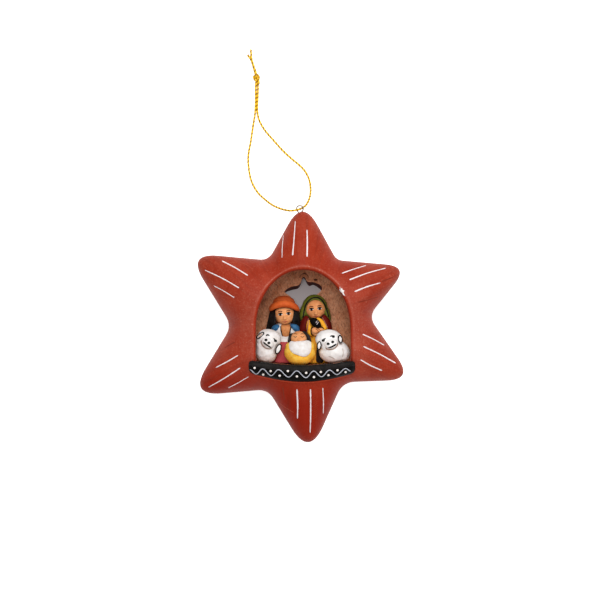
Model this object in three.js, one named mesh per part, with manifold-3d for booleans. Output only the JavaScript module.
// Fired-clay star that hangs on a thread loop, with a crib scene standing in its arched niche.
// Millimetres. +Z points out of the star's face and +Y towards the hanging eye. The origin is the
// middle of the flat back, on which the star lies.
import * as THREE from "three";
import { mergeVertices } from "three/addons/utils/BufferGeometryUtils.js";
import Module from "manifold-3d";

const wasm = await Module();
wasm.setup();

// Star outline, drawn by hand and so a little uneven. Turns are clockwise from the hanging eye.
const POINT_REACH = 48.7; // centre to the rounded end of a point
const VALLEY_REACH = 31.5; // centre to the hollow between two points
const POINT_BLUNT = 6; // what rounding takes off the sharp corner of a point
const VALLEY_FILL = 1.2; // what rounding adds in the sharp corner of a valley
// How each point, and the valley after it, departs from the regular star.
const POINTS = [
  { lean: 0.7, longer: -0.2, blunter: -0.2, valleyLean: -2, valleyLonger: 1, valleyFuller: -0.6 },
  { lean: 0.7, longer: -1, blunter: -1.6, valleyLean: -9, valleyLonger: -1.3, valleyFuller: 0.2 },
  { lean: -4.8, longer: -1.5, blunter: -1.2, valleyLean: -7, valleyLonger: -1, valleyFuller: 0.2 },
  { lean: -3.6, longer: -0.2, blunter: 0.4, valleyLean: -2, valleyLonger: -0.6, valleyFuller: 0 },
  { lean: -1.6, longer: 0.5, blunter: 0.4, valleyLean: 1, valleyLonger: -1.1, valleyFuller: 0 },
  { lean: 3, longer: 2.6, blunter: 0, valleyLean: 4, valleyLonger: 0.8, valleyFuller: -0.1 },
];

// Two pressed half shells, luted together at the seam.
const SEAM_Z = 12; // height of the seam above the flat back
const FRONT_RISE = 17; // how far the face would swell above the seam with no niche
const BACK_SWELL = 15; // how far the back would swell below the seam with no flat
const WALL = 4;
const CORE_RADIUS = 37; // rings near the middle tend to a circle of this size
const EDGE_ROUND = 0.65; // share of the round pillow section, the rest is a softer cone
const RING_EASE = 1.3; // how late the rings take on the star's outline

// Arched niche and the star-shaped window in its back wall.
const ARCH_X = 0.9; // the arch stands a little off the middle
const ARCH_HALF = 19.6; // half width
const ARCH_SPRING_Y = -0.4; // where the straight sides end and the curve begins
const ARCH_RISE = 24.2; // height of the curve above its spring line
const LIP_ROUND = 2.2; // rounding of the lip
const FLOOR_Y = -14.2; // niche floor at its two sides
const FLOOR_DIP = 1.5; // how much lower it lies in the middle
const SHELF_THICK = 3.2;
const SHELF_OVERLAP = 1.4; // how far the shelf runs past the arch on each side
const WINDOW_DROP = 11.2; // from the crown of the arch to the middle of the window
const WINDOW_TIPS = 5;
const WINDOW_REACH = 8.4; // centre to a tip of the window
const WINDOW_NOTCH = 4.7; // centre to a notch between two tips
const WINDOW_SLANT = 28; // degrees that the cut leans off square to the wall

// Black sill strip, luted on the face under the arch.
const SILL_OVERLAP = 2.4; // how far it runs past the arch on each side
const SILL_SHIFT = -0.5; // off the middle of the arch
const SILL_DEEP = 6.6; // from its top edge to its bottom edge in the middle
const SILL_END_LESS = 0.4; // how much narrower it is at the ends
const SILL_PROUD = 2.6; // how far it stands out of the face
const SILL_END_ROUND = 1.8;
const SILL_SINK = 1; // run into the face before its seat is cut

// Wire eye in the top point, and the thread tied through it.
const WIRE_RADIUS = 0.26;
const EYE_RADIUS = 1.4; // to the middle of the wire
const EYE_SHIFT = -1.05; // off the end of the point
const EYE_STAND = 1.1; // middle of the eye past the end of the point
const EYE_FEET = 1.3; // distance between its two feet
const EYE_NECK = 0.9; // from the end of the point down to where the feet run straight
const EYE_OPEN = 35; // degrees from straight down to where the loop turns into a foot
const EYE_DEPTH = 6; // how far the feet run into the clay
const CORD_RADIUS = 0.42;
const CORD_STEP = 2.1; // length of a facet along the thread
const KNOT_HALF = [1.45, 2.1, 1.2];

// Clearance that luted pieces keep to each other.
const SEAT_GAP = 0.25;

// Figures. A lump is given by its half width, half height and half depth. aside is its place to the
// right of the middle of the arch, or of the lump that carries it.
const STAND_OFF = 5; // from the niche's back wall to the middle of the standing figures
const ROW_STEP = 7.5; // from there to the middle of the sheep
const FIGURE_FLATTEN = 0.72; // depth of a standing body over its width
const GOWN_LEVELS = { hem: 0.15, waist: 0.62, shoulder: 0.84, slope: 0.93 }; // shares of its height
const CHIN_SINK = 0.5; // how far a chin sits below the top of its body
const FIGURE_Z = WALL + STAND_OFF;
const HEAD_Z = FIGURE_Z + 0.8; // heads lean out over the bodies
const SHOULDER_Z = FIGURE_Z + 1; // and so does what lies on the shoulders
const SHEEP_Z = FIGURE_Z + ROW_STEP;
const HEAD_OVERHANG = 1.5; // how far a sheep's head leans out over its body
const WOMAN = {
  aside: -7.8, height: 17, hem: 6.2, waist: 4.7, shoulder: 5.3, neck: 2.3,
  head: [4, 4.5, 4], brim: [6.4, 1.7, 5.2], brimDroop: 2.2, brimSink: 0.85,
  crown: [4.6, 3.6, 4.2], crownSink: 0.35, crownBack: 0.85,
  hair: [1.7, 4.9, 2.4], hairLean: 10, shawl: [2.4, 2.7, 2.8],
};
const MAN = {
  aside: 5.1, height: 19.9, hem: 5.6, waist: 5, shoulder: 5.5, neck: 2.4,
  head: [3.9, 4.3, 4], hood: [5.6, 5.6, 4.4], hoodBack: 1.2, flap: [1.7, 3.7, 2.6], flapLean: 13,
  opening: [3.7, 4.1, 6], openingOut: 3.7, cloak: [2, 5, 2.6], cloakOut: 2.6,
  hands: [2.5, 2, 1.7], handsDrop: 6, heldHat: [2.7, 1.6, 1.4], heldHatLean: -40,
};
const INFANT = {
  aside: -1.5, forward: 1.9, cradle: [6.8, 5.6, 4.8], blanket: [4.7, 3.5, 2.2], blanketUp: 2,
  headUp: 5, head: [3.6, 3.5, 3.5], hair: [4.3, 4, 2.9], hairBack: 1.4,
};
const SHEEP = [
  {
    name: "sheep_left", side: -1, body: [4.5, 5.2, 4.5], head: [4.9, 4.7, 4.4], headAside: 0.8, headUp: 4.7,
    muzzle: [2.6, 2, 2], muzzleAside: -0.6, muzzleDrop: 1.4,
    ears: [
      { name: "ear_left", half: [1.1, 2.2, 0.9], aside: -3.4, up: 1.9, lean: -45 },
      { name: "ear_right", half: [1.2, 2.4, 0.9], aside: 4, up: -3.9, lean: -25 },
    ],
  },
  {
    name: "sheep_right", side: 1, body: [6.7, 4.7, 4.7], head: [5.3, 4.8, 4.4], headAside: -1.8, headUp: 4.8,
    muzzle: [2.7, 2, 2], muzzleAside: 0.6, muzzleDrop: 1.5,
    ears: [
      { name: "ear_left", half: [1.1, 2, 0.9], aside: -4.6, up: -2.1, lean: 12 },
      { name: "ear_right", half: [1.1, 1.9, 0.9], aside: 4.6, up: 0.3, lean: 22 },
    ],
  },
];

// Thread, laid out by hand: it comes off the eye, sinks to the table and runs up to the knot.
const CORD_LEFT = [
  [-0.34, 49.6, 11.94], [-1.8, 49.1, 13.4], [-4.2, 48.8, 13.2], [-7.4, 49.4, 11], [-11.7, 51.3, 7.2],
  [-15.2, 54, 3.6], [-18.5, 57.3, 1.3], [-21.2, 62.3, 0.5], [-22.3, 67.9, 0.45], [-22.45, 73, 0.45],
  [-21.4, 79.1, 0.45], [-20.5, 85.2, 0.45], [-19.7, 91, 0.45], [-19.5, 96.9, 0.5], [-19.4, 103.4, 1],
];
const CORD_RIGHT = [
  [-0.06, 49.7, 11.66], [1.2, 50.5, 10.4], [2.3, 51.6, 9], [3.7, 54.8, 6.2], [4.1, 58.8, 3], [3.4, 63, 1.1],
  [1.6, 66.5, 0.45], [-0.9, 69.1, 0.45], [-4.3, 71.9, 0.45], [-7.9, 75.3, 0.45], [-11.8, 79.6, 0.45],
  [-15.6, 84.1, 0.45], [-17.8, 88.6, 0.45], [-18.35, 93.2, 0.45], [-18.3, 98, 0.5], [-18.2, 103.4, 1],
];
const TAIL_LONG = [[-18.85, 108.2, 1], [-19.9, 111, 0.5], [-20.8, 114, 0.45], [-21.4, 118.2, 0.45]];
const TAIL_SHORT = [[-20, 107.9, 1], [-21.1, 110.7, 0.5], [-22, 113.2, 0.45], [-22.9, 115.8, 0.45]];
const KNOT_AT = [-18.85, 105.8, 1.25];

// Facets.
const CORNER_STEPS = 4;
const FACE_RINGS = [1, 0.97, 0.86, 0.64, 0.34, 0]; // shares of the way from the lip to the seam
const LIP_STEPS = 2;
const SILL_STATIONS = [-1, -0.985, -0.94, -0.86, -0.7, -0.5, -0.25, 0, 0.25, 0.5, 0.7, 0.86, 0.94, 0.985, 1];
const SILL_SECTION = [
  [0, 0], [0.04, 0.5], [0.16, 0.88], [0.38, 1], [0.66, 0.96], [0.88, 0.7], [0.98, 0.35], [1, 0],
]; // share of the way down, and share of how far it stands out
const EGG_SIDES = 12;
const EGG_RINGS = 7;
const ROUND_SIDES = 8;
const EYE_STEPS = 26;
const EYE_POINTS = 9;
const BISECT_STEPS = 40;
const MERGE_WITHIN = 1e-5;

const { degToRad, lerp } = THREE.MathUtils;

// Solids from closed meshes, and back.
function solidOf(geometry) {
  const bare = geometry.index ? geometry.toNonIndexed() : geometry.clone();
  bare.deleteAttribute("normal");
  bare.deleteAttribute("uv");
  const merged = mergeVertices(bare, MERGE_WITHIN);
  const corners = merged.index.array;
  const triVerts = [];
  for (let i = 0; i < corners.length; i += 3) {
    const [a, b, c] = corners.slice(i, i + 3);
    if (a !== b && b !== c && c !== a) triVerts.push(a, b, c);
  }
  const vertProperties = merged.attributes.position.array;
  const mesh = new wasm.Mesh({ numProp: 3, vertProperties, triVerts: new Uint32Array(triVerts) });
  return new wasm.Manifold(mesh);
}

function geometryOf(solid) {
  const mesh = solid.getMesh();
  const geometry = new THREE.BufferGeometry();
  geometry.setAttribute("position", new THREE.BufferAttribute(new Float32Array(mesh.vertProperties), 3));
  geometry.setIndex(new THREE.BufferAttribute(new Uint32Array(mesh.triVerts), 1));
  geometry.computeVertexNormals();
  return geometry;
}

// The same solid, larger by gap all round: what a neighbour has to keep clear of.
function grown(solid, gap) {
  const geometry = geometryOf(solid);
  const { position, normal } = geometry.attributes;
  const point = new THREE.Vector3();
  const out = new THREE.Vector3();
  for (let i = 0; i < position.count; i += 1) {
    out.fromBufferAttribute(normal, i);
    point.fromBufferAttribute(position, i).addScaledVector(out, gap);
    position.setXYZ(i, point.x, point.y, point.z);
  }
  return solidOf(geometry);
}

// Each piece is cut back from the pieces already in place, as soft clay is pressed onto them, and the
// largest body that is left is kept. It meets the pieces in flush face to face, and cuts come out of it.
const group = new THREE.Group();
const taken = new Map();

function place(name, look, shapes, { cuts = [], flush = [] } = {}) {
  const solids = shapes.map(solidOf);
  let piece = solids.reduce((whole, next) => whole.add(next));
  taken.forEach((others, other) => {
    if (flush.includes(other)) return;
    piece = others.reduce((left, solid) => left.subtract(solid), piece);
  });
  piece = cuts.reduce((left, cut) => left.subtract(solidOf(cut)), piece);
  const [largest] = piece.decompose().sort((a, b) => b.volume() - a.volume());
  const mesh = new THREE.Mesh(geometryOf(largest), new THREE.MeshStandardMaterial(look));
  mesh.name = name;
  group.add(mesh);
  taken.set(name, solids.map((solid) => grown(solid, SEAT_GAP)));
}

// Finishes
const SLIP_RED = { color: 0xa23b28, roughness: 0.55, metalness: 0 };
const BARE_CLAY = { color: 0x7d523f, roughness: 0.9, metalness: 0 };
const BLACK_SLIP = { color: 0x241e1c, roughness: 0.5, metalness: 0 };
const SKIN = { color: 0xd4915f, roughness: 0.6, metalness: 0 };
const WHITE_SLIP = { color: 0xe6e1db, roughness: 0.6, metalness: 0 };
const OCHRE = { color: 0xe0a52c, roughness: 0.6, metalness: 0 };
const ORANGE = { color: 0xc2572d, roughness: 0.6, metalness: 0 };
const ROSE = { color: 0xa94c4a, roughness: 0.6, metalness: 0 };
const BLUE = { color: 0x244e6f, roughness: 0.6, metalness: 0 };
const OLIVE = { color: 0x5f641f, roughness: 0.6, metalness: 0 };
const MAROON = { color: 0x5a1a12, roughness: 0.6, metalness: 0 };
const BRASS = { color: 0xb08d4c, roughness: 0.35, metalness: 1 };
const GOLD_THREAD = { color: 0xe2b437, roughness: 0.45, metalness: 0.3 };

// Star outline: corners on the points and in the valleys, each rounded by a curve.
function polar(turn, reach) {
  return new THREE.Vector2(Math.sin(degToRad(turn)) * reach, Math.cos(degToRad(turn)) * reach);
}

function starCorners() {
  const sixth = 360 / POINTS.length;
  return POINTS.flatMap((point, i) => {
    const blunt = POINT_BLUNT + point.blunter;
    const fill = VALLEY_FILL + point.valleyFuller;
    const end = polar(i * sixth + point.lean, POINT_REACH + point.longer + blunt);
    const valley = polar((i + 0.5) * sixth + point.valleyLean, VALLEY_REACH + point.valleyLonger - fill);
    return [{ at: end, off: blunt }, { at: valley, off: fill }];
  });
}

function inset(corners, wall) {
  const inward = (from, to) => new THREE.Vector2(to.y - from.y, from.x - to.x).normalize();
  return corners.map((corner, i) => {
    const before = inward(corners.at(i - 1).at, corner.at);
    const after = inward(corner.at, corners[(i + 1) % corners.length].at);
    const move = before.clone().add(after).multiplyScalar(wall / (1 + before.dot(after)));
    return { at: corner.at.clone().add(move), off: corner.off };
  });
}

function outlineOf(corners) {
  return corners.flatMap((corner, i) => {
    const next = corners[(i + 1) % corners.length].at;
    const back = corners.at(i - 1).at.clone().sub(corner.at).normalize();
    const on = next.clone().sub(corner.at).normalize();
    const cut = (2 * corner.off) / Math.cos(back.angleTo(on) / 2);
    const start = corner.at.clone().addScaledVector(back, cut);
    const end = corner.at.clone().addScaledVector(on, cut);
    const round = new THREE.QuadraticBezierCurve(start, corner.at, end);
    return [...round.getPoints(CORNER_STEPS), corner.at.clone().lerp(next, 0.5)];
  });
}

const outline = outlineOf(starCorners());
const hollow = outlineOf(inset(starCorners(), WALL));

// Pillow section: s runs from 0 in the middle to 1 at the outline.
function rise(s) {
  return EDGE_ROUND * Math.sqrt(1 - s * s) + (1 - EDGE_ROUND) * (1 - s * s);
}

function ringReach(edgeReach, s) {
  const follow = s ** RING_EASE;
  return s * ((1 - follow) * CORE_RADIUS + follow * edgeReach);
}

// Largest value from 0 to 1 for which a test that starts true still holds.
function lastTrue(test) {
  let low = 0;
  let high = 1;
  for (let i = 0; i < BISECT_STEPS; i += 1) {
    const middle = (low + high) / 2;
    if (test(middle)) low = middle;
    else high = middle;
  }
  return low;
}

function insideStar(x, y) {
  let inside = false;
  outline.forEach((a, i) => {
    const b = outline[(i + 1) % outline.length];
    const crosses = a.y > y !== b.y > y && x < a.x + ((y - a.y) / (b.y - a.y)) * (b.x - a.x);
    if (crosses) inside = !inside;
  });
  return inside;
}

// Height of the face over a place on the back.
function faceHeight(x, y) {
  const far = 2 * POINT_REACH;
  const reach = Math.hypot(x, y);
  const edge = far * lastTrue((t) => insideStar((x / reach) * far * t, (y / reach) * far * t));
  const s = lastTrue((t) => ringReach(edge, t) < reach);
  return SEAM_Z + FRONT_RISE * rise(s);
}

// Niche outline
function floorAt(x) {
  const across = (x - ARCH_X) / ARCH_HALF;
  return FLOOR_Y - FLOOR_DIP * (1 - across * across);
}

function inArch(x, y) {
  const across = (x - ARCH_X) / ARCH_HALF;
  const up = Math.max(0, (y - ARCH_SPRING_Y) / ARCH_RISE);
  return across * across + up * up < 1 && y > floorAt(x);
}

// A closed skin over columns of points, each column a loop. Columns that shrink to a point close it.
function skin(columns) {
  const rows = columns[0].length;
  const position = columns.flat().flatMap((point) => point.toArray());
  const index = [];
  columns.forEach((column, i) => {
    const here = i * rows;
    const there = ((i + 1) % columns.length) * rows;
    column.forEach((point, row) => {
      const next = (row + 1) % rows;
      index.push(here + row, there + next, there + row, here + row, here + next, there + next);
    });
  });
  const geometry = new THREE.BufferGeometry();
  geometry.setAttribute("position", new THREE.Float32BufferAttribute(position, 3));
  geometry.setIndex(index);
  return geometry;
}

function shellPoint(edge, reach, z) {
  const at = edge.clone().setLength(reach);
  return new THREE.Vector3(at.x, at.y, z);
}

// Front half: up the outside from the seam to the lip, over it and back inside to the seam.
function frontShell() {
  const rows = FACE_RINGS.length - 1;
  return skin(outline.map((edge, i) => {
    const inner = hollow[i];
    const unit = edge.clone().normalize();
    const lip = POINT_REACH * lastTrue((t) => inArch(unit.x * POINT_REACH * t, unit.y * POINT_REACH * t));
    const share = (side, reach) => lastTrue((t) => ringReach(side.length(), t) < reach);
    const outside = share(edge, lip + LIP_ROUND);
    const inside = share(inner, lip);
    const column = [];
    for (let row = 0; row <= rows; row += 1) {
      const s = lerp(outside, 1, FACE_RINGS[row]);
      column.push(shellPoint(edge, ringReach(edge.length(), s), SEAM_Z + FRONT_RISE * rise(s)));
    }
    const lipZ = SEAM_Z + FRONT_RISE * rise(outside);
    for (let step = 1; step <= LIP_STEPS; step += 1) {
      const over = degToRad((90 * step) / LIP_STEPS);
      const reach = lip + LIP_ROUND * (1 - Math.sin(over));
      column.push(shellPoint(edge, reach, lipZ - LIP_ROUND * (1 - Math.cos(over))));
    }
    for (let row = rows - 1; row >= 0; row -= 1) {
      const s = lerp(inside, 1, FACE_RINGS[row]);
      const z = SEAM_Z + (FRONT_RISE - WALL) * rise(s);
      column.push(shellPoint(inner, ringReach(inner.length(), s), z));
    }
    return column;
  }));
}

// Back half: down the outside from the seam to the flat, across, and up inside to the seam.
function backShell() {
  const flat = lastTrue((t) => BACK_SWELL * rise(t) > SEAM_Z);
  const flatInside = lastTrue((t) => (BACK_SWELL - WALL) * rise(t) > SEAM_Z - WALL);
  return skin(outline.map((edge, i) => {
    const inner = hollow[i];
    const column = [new THREE.Vector3(0, 0, WALL), new THREE.Vector3(0, 0, 0)];
    [...FACE_RINGS].reverse().slice(1).forEach((ring) => {
      const s = lerp(flat, 1, ring);
      column.push(shellPoint(edge, ringReach(edge.length(), s), SEAM_Z - BACK_SWELL * rise(s)));
    });
    column.splice(2, 0, shellPoint(edge, ringReach(edge.length(), flat), 0));
    FACE_RINGS.forEach((ring) => {
      const s = lerp(flatInside, 1, ring);
      const z = SEAM_Z - (BACK_SWELL - WALL) * rise(s);
      column.push(shellPoint(inner, ringReach(inner.length(), s), z));
    });
    return column;
  }));
}

// Star-shaped window, cut on a slant so that its upper edges show from the front.
function windowCut() {
  const corners = Array.from({ length: 2 * WINDOW_TIPS }, (_, i) =>
    polar((i * 180) / WINDOW_TIPS, i % 2 ? WINDOW_NOTCH : WINDOW_REACH));
  const through = 4 * WALL;
  const prism = new THREE.ExtrudeGeometry(new THREE.Shape(corners), { depth: through, bevelEnabled: false });
  prism.translate(0, 0, -through / 2);
  prism.applyMatrix4(new THREE.Matrix4().makeShear(0, 0, 0, 0, 0, Math.tan(degToRad(WINDOW_SLANT))));
  prism.translate(ARCH_X, ARCH_SPRING_Y + ARCH_RISE - WINDOW_DROP, WALL);
  return prism;
}

// Shelf under the figures, between the two shells.
function shelf() {
  const left = ARCH_X - ARCH_HALF - SHELF_OVERLAP;
  const right = ARCH_X + ARCH_HALF + SHELF_OVERLAP;
  const shape = new THREE.Shape();
  shape.moveTo(left, floorAt(left));
  shape.lineTo(left, FLOOR_Y - FLOOR_DIP - SHELF_THICK);
  shape.lineTo(right, FLOOR_Y - FLOOR_DIP - SHELF_THICK);
  shape.lineTo(right, floorAt(right));
  shape.quadraticCurveTo(ARCH_X, 2 * floorAt(ARCH_X) - floorAt(left), left, floorAt(left));
  return new THREE.ExtrudeGeometry(shape, { depth: SEAM_Z + FRONT_RISE - WALL, bevelEnabled: false });
}

// Sill: a strip with a round front that follows the face, drawn in to nothing at its two ends.
function sill() {
  const half = ARCH_HALF + SILL_OVERLAP;
  return skin(SILL_STATIONS.map((share) => {
    const x = ARCH_X + SILL_SHIFT + share * half;
    const deep = SILL_DEEP - SILL_END_LESS * share * share;
    const past = Math.max(0, (Math.abs(share) - 1) * half + SILL_END_ROUND) / SILL_END_ROUND;
    const full = Math.sqrt(1 - past * past);
    return SILL_SECTION.map(([down, proud]) => {
      const y = floorAt(x) - deep / 2 + (0.5 - down) * deep * Math.sqrt(full);
      const out = (SILL_PROUD + SILL_SINK) * proud - SILL_SINK;
      return new THREE.Vector3(x, y, faceHeight(x, y) + full * out);
    });
  }));
}

// A round bar along a smooth line.
function roundBar(points, radius, steps) {
  const section = new THREE.Shape(Array.from({ length: ROUND_SIDES }, (_, i) =>
    polar((-360 * (i + 0.5)) / ROUND_SIDES, radius)));
  const line = new THREE.CatmullRomCurve3(points.map((point) => new THREE.Vector3(...point)));
  return new THREE.ExtrudeGeometry(section, { steps, extrudePath: line, bevelEnabled: false });
}

// Wire eye: a loop standing on two feet that run into the seam of the top point.
function wireEye() {
  const end = polar(POINTS[0].lean, POINT_REACH + POINTS[0].longer);
  const x = end.x + EYE_SHIFT;
  const y = end.y + EYE_STAND;
  const loop = Array.from({ length: EYE_POINTS }, (_, i) => {
    const at = polar(lerp(EYE_OPEN - 180, 180 - EYE_OPEN, i / (EYE_POINTS - 1)), EYE_RADIUS);
    return [x + at.x, y + at.y, SEAM_Z];
  });
  const foot = (side, down) => [x + (side * EYE_FEET) / 2, end.y - down, SEAM_Z];
  const wire = [foot(-1, EYE_DEPTH), foot(-1, EYE_NECK), ...loop, foot(1, EYE_NECK), foot(1, EYE_DEPTH)];
  return roundBar(wire, WIRE_RADIUS, EYE_STEPS);
}

// A lump of clay, leaning by degrees about the line of sight.
function egg(half, at, lean = 0) {
  const lump = new THREE.SphereGeometry(1, EGG_SIDES, EGG_RINGS);
  lump.scale(...half);
  lump.rotateZ(degToRad(lean));
  lump.translate(...at);
  return lump;
}

// Bends a lump down towards its two ends.
function droop(lump, half, drop) {
  const { position } = lump.attributes;
  for (let i = 0; i < position.count; i += 1) {
    const across = position.getX(i) / half;
    position.setY(i, position.getY(i) - drop * across * across);
  }
}

// A standing body: hem, waist, shoulders and neck, flattened front to back.
function gown(figure) {
  const { height, hem, waist, shoulder, neck } = figure;
  const profile = [
    [0, 0], [hem, 0], [hem, height * GOWN_LEVELS.hem], [waist, height * GOWN_LEVELS.waist],
    [shoulder, height * GOWN_LEVELS.shoulder], [(shoulder + neck) / 2, height * GOWN_LEVELS.slope],
    [neck, height], [0, height],
  ].map(([radius, up]) => new THREE.Vector2(radius, up));
  const body = new THREE.LatheGeometry(profile, EGG_SIDES);
  const x = ARCH_X + figure.aside;
  body.scale(1, 1, FIGURE_FLATTEN);
  body.translate(x, floorAt(x) + SEAT_GAP, FIGURE_Z);
  return body;
}

function headAt(figure) {
  const x = ARCH_X + figure.aside;
  return [x, floorAt(x) + figure.height + figure.head[1] - CHIN_SINK, HEAD_Z];
}

place("wire_eye", BRASS, [wireEye()]);
place("front_shell", SLIP_RED, [frontShell()]);
place("back_shell", SLIP_RED, [backShell()], { cuts: [windowCut()], flush: ["front_shell"] });
place("sill_strip", BLACK_SLIP, [sill()]);
place("shelf", BARE_CLAY, [shelf()]);

// Woman: gown, head, hat, loose hair and a shawl end on each shoulder.
function woman() {
  const [x, y, z] = headAt(WOMAN);
  const [wide, tall] = WOMAN.head;
  const shoulderY = y - tall - CHIN_SINK;
  place("woman_head", SKIN, [egg(WOMAN.head, [x, y, z])]);
  place("woman_gown", ROSE, [gown(WOMAN)]);
  const brim = egg(WOMAN.brim, [0, 0, 0]);
  droop(brim, WOMAN.brim[0], WOMAN.brimDroop);
  brim.translate(x, y + tall - WOMAN.brimSink, z);
  place("woman_hat_brim", ORANGE, [brim]);
  const crownAt = [x, y + tall - WOMAN.crownSink, z - WOMAN.crownBack];
  place("woman_hat_crown", ORANGE, [egg(WOMAN.crown, crownAt)]);
  [["left", -1], ["right", 1]].forEach(([side, sign]) => {
    const hairX = x + sign * (wide + WOMAN.hair[0] / 2);
    const hairY = y + (tall - WOMAN.hair[1]) / 2;
    const hair = egg(WOMAN.hair, [hairX, hairY, FIGURE_Z], sign * WOMAN.hairLean);
    place(`woman_hair_${side}`, BLACK_SLIP, [hair]);
    const shawlX = x + sign * (WOMAN.shoulder - WOMAN.shawl[0] / 2);
    place(`woman_shawl_${side}`, BLUE, [egg(WOMAN.shawl, [shawlX, shoulderY, SHOULDER_Z])]);
  });
}

// Man: tunic, head, hood with two flaps, cloak ends, clasped hands and the black hat held in them.
function man() {
  const [x, y, z] = headAt(MAN);
  const [wide, tall] = MAN.head;
  const shoulderY = y - tall - CHIN_SINK;
  const handsZ = FIGURE_Z + FIGURE_FLATTEN * MAN.shoulder + MAN.hands[2] / 2;
  place("man_head", SKIN, [egg(MAN.head, [x, y, z])]);
  place("man_tunic", OCHRE, [gown(MAN)]);
  const flaps = [-1, 1].map((sign) => {
    const flapX = x + sign * (wide + MAN.flap[0] / 2);
    return egg(MAN.flap, [flapX, y - MAN.flap[1] / 2, z - MAN.hoodBack], sign * MAN.flapLean);
  });
  const opening = egg(MAN.opening, [x, y, z + MAN.openingOut]);
  place("man_hood", OLIVE, [egg(MAN.hood, [x, y, z - MAN.hoodBack]), ...flaps], { cuts: [opening] });
  [["left", -1], ["right", 1]].forEach(([side, sign]) => {
    const cloakX = x + sign * (MAN.shoulder - MAN.cloak[0] / 4);
    const cloakY = shoulderY - MAN.cloak[1] / 2;
    place(`man_cloak_${side}`, MAROON, [egg(MAN.cloak, [cloakX, cloakY, FIGURE_Z + MAN.cloakOut])]);
  });
  const handsY = shoulderY + CHIN_SINK - MAN.handsDrop;
  place("man_hands", SKIN, [egg(MAN.hands, [x, handsY, handsZ])]);
  const hatY = handsY + MAN.hands[1] + MAN.heldHat[1];
  place("man_held_hat", BLACK_SLIP, [egg(MAN.heldHat, [x, hatY, handsZ], MAN.heldHatLean)]);
}

// Infant: head, hair round it, a cradle of wrapped cloth and a blanket over it.
function infant() {
  const { cradle, blanket, head, hair } = INFANT;
  const x = ARCH_X + INFANT.aside;
  const y = floorAt(x) + cradle[1];
  const out = SHEEP_Z + INFANT.forward;
  const headY = y + INFANT.headUp;
  place("infant_head", SKIN, [egg(head, [x, headY, out])]);
  place("infant_cradle", OCHRE, [egg(cradle, [x, y, out])]);
  const blanketZ = out + cradle[2] - blanket[2] / 2;
  place("infant_blanket", WHITE_SLIP, [egg(blanket, [x, y + INFANT.blanketUp, blanketZ])]);
  place("infant_hair", BLACK_SLIP, [egg(hair, [x, headY, out - INFANT.hairBack])]);
}

// Sheep: a lying body, a round head with its muzzle, and two leaf-shaped ears.
function sheep({ name, side, body, head, headAside, headUp, muzzle, muzzleAside, muzzleDrop, ears }) {
  const x = ARCH_X + side * (ARCH_HALF - body[0]);
  const y = floorAt(x) + body[1];
  const headX = x + headAside;
  const headY = y + headUp;
  const headZ = SHEEP_Z + HEAD_OVERHANG;
  const snout = egg(muzzle, [headX + muzzleAside, headY - muzzleDrop, headZ + head[2] - muzzle[2] / 2]);
  place(`${name}_head`, WHITE_SLIP, [egg(head, [headX, headY, headZ]), snout]);
  place(`${name}_body`, WHITE_SLIP, [egg(body, [x, y, SHEEP_Z])]);
  ears.forEach((ear) => {
    const spot = [headX + ear.aside, headY + ear.up, headZ + head[2] / 2];
    place(`${name}_${ear.name}`, WHITE_SLIP, [egg(ear.half, spot, ear.lean)]);
  });
}

woman();
man();
infant();
SHEEP.forEach(sheep);

// Thread: its two strands, the knot that ties them and the two cut ends.
function cordLength(points) {
  return new THREE.CatmullRomCurve3(points.map((point) => new THREE.Vector3(...point))).getLength();
}

function addThread(name, geometry) {
  const mesh = new THREE.Mesh(geometry, new THREE.MeshStandardMaterial(GOLD_THREAD));
  mesh.name = name;
  group.add(mesh);
}

const strands = {
  cord_left: CORD_LEFT, cord_right: CORD_RIGHT, cord_tail_long: TAIL_LONG, cord_tail_short: TAIL_SHORT,
};
Object.entries(strands).forEach(([name, points]) => {
  addThread(name, roundBar(points, CORD_RADIUS, Math.round(cordLength(points) / CORD_STEP)));
});
addThread("cord_knot", egg(KNOT_HALF, KNOT_AT));

export default group;
